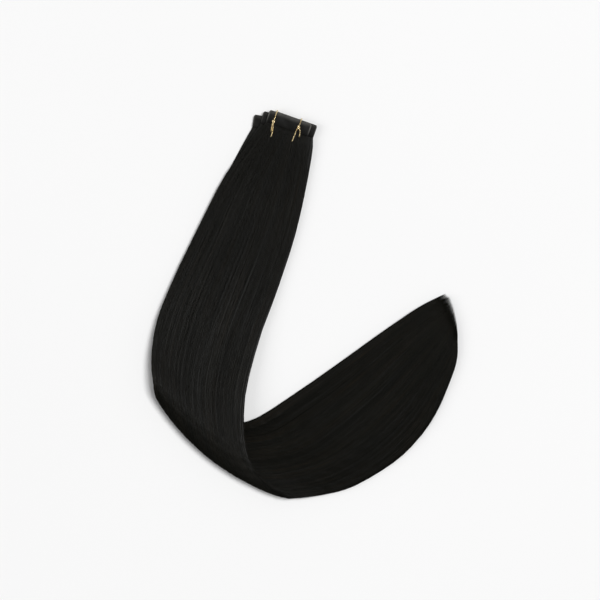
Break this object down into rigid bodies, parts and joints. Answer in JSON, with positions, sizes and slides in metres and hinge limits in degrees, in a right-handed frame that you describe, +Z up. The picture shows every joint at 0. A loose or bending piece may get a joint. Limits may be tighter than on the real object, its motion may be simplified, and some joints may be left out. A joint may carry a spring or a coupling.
{
  "type": "tape-in hair extension",
  "caption": "Tape-in hair extension bundle: panels of straight near-black hair in folded film tapes, tied with gold cords, the hair rolled under itself and swept to one side.",
  "frame": {"origin": "on the surface that the bundle lies on, under the centre of its footprint", "axes": "+Z up from the surface, +Y from the fold towards the tapes, +X towards the side that the tips lie on"},
  "size_m": [0.2751, 0.349, 0.0207],
  "materials": {
    "hair": "straight near-black hair with a soft sheen along the strands",
    "tape": "thin flexible film, dark, glossy along the fold",
    "tie": "twisted gold metallic cord"
  },
  "bodies": {
    "root": {"tape_front": "tape", "hair_front": "hair", "tape_second": "tape", "hair_second": "hair", "tape_third": "tape", "hair_third": "hair", "tape_back": "tape", "hair_back": "hair", "tie_left": "tie", "tie_right": "tie"}
  },
  "joints": []
}
